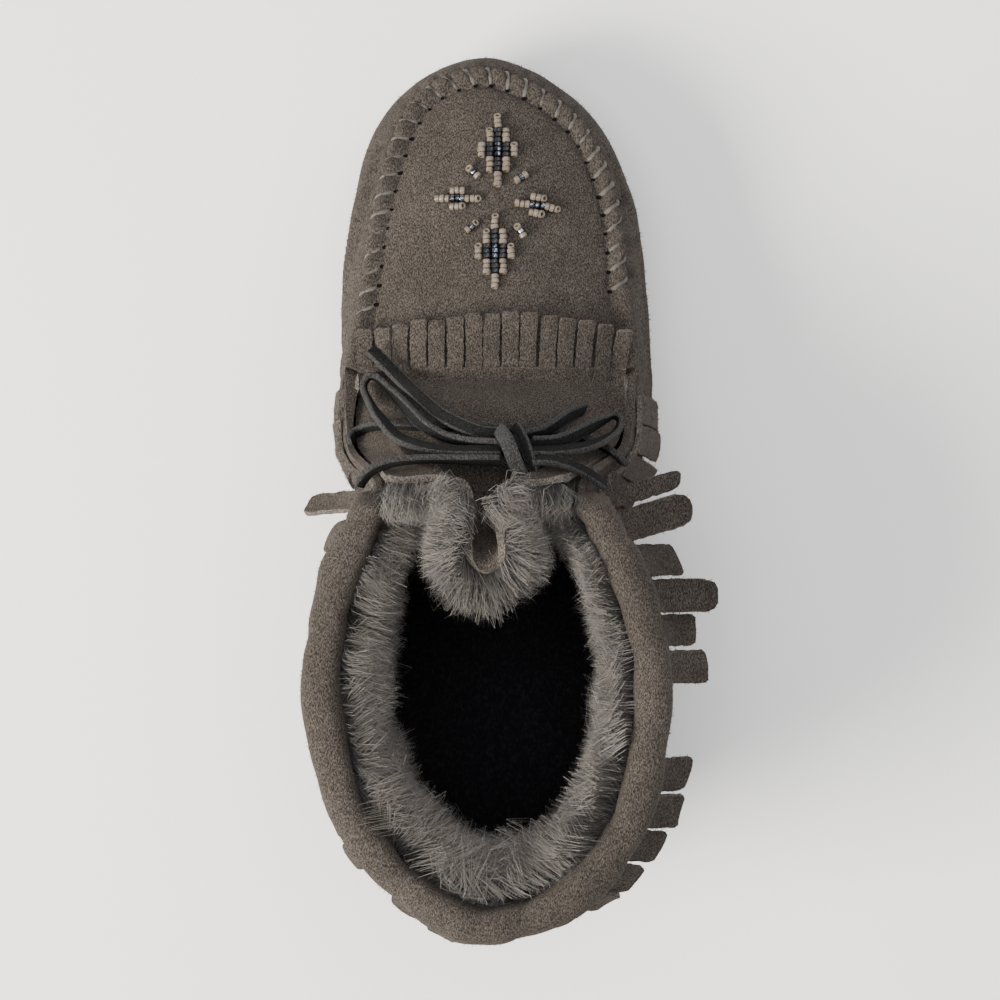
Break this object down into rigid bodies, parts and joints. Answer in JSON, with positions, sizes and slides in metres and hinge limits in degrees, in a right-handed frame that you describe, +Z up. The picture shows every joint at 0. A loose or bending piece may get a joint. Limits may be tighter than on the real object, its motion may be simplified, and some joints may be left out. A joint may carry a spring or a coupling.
{
  "type": "lined moccasin",
  "caption": "Fringed suede ankle moccasin with a beaded apron, a gathered tongue with a bow, a fur lining and a thin crepe sole.",
  "frame": {"origin": "middle of the outline on the floor, under the sole", "axes": "toe towards -Y, heel towards +Y, inner ankle side towards +X, +Z up"},
  "size_m": [0.109, 0.263, 0.121],
  "materials": {
    "taupe_suede": "brushed taupe suede",
    "grey_lace_suede": "dark grey suede lace",
    "crepe_rubber": "matt crepe",
    "black_lining_cloth": "brushed cloth",
    "grey_fur": "deep faux fur",
    "glass_beads": "glass seed beads, tan, dark and metallic"
  },
  "bodies": {
    "root": {"outsole": "crepe_rubber", "insole": "black_lining_cloth", "upper": "taupe_suede", "tongue": "taupe_suede", "tongue_fur": "grey_fur", "fur_lining": "grey_fur", "cuff": "taupe_suede", "cuff_fringe": "taupe_suede", "vamp_fringe": "taupe_suede", "beads_front_diamond": "glass_beads", "beads_back_diamond": "glass_beads", "beads_medial_diamond": "glass_beads", "beads_lateral_diamond": "glass_beads", "beads_dash_1": "glass_beads", "beads_dash_2": "glass_beads", "beads_dash_3": "glass_beads", "beads_dash_4": "glass_beads", "lace_bar": "grey_lace_suede", "lace_left": "grey_lace_suede", "lace_right": "grey_lace_suede", "lace_knot": "grey_lace_suede", "lace_loop_left": "grey_lace_suede", "lace_loop_right": "grey_lace_suede", "lace_tail_left": "grey_lace_suede", "lace_tail_right": "grey_lace_suede"}
  },
  "joints": []
}
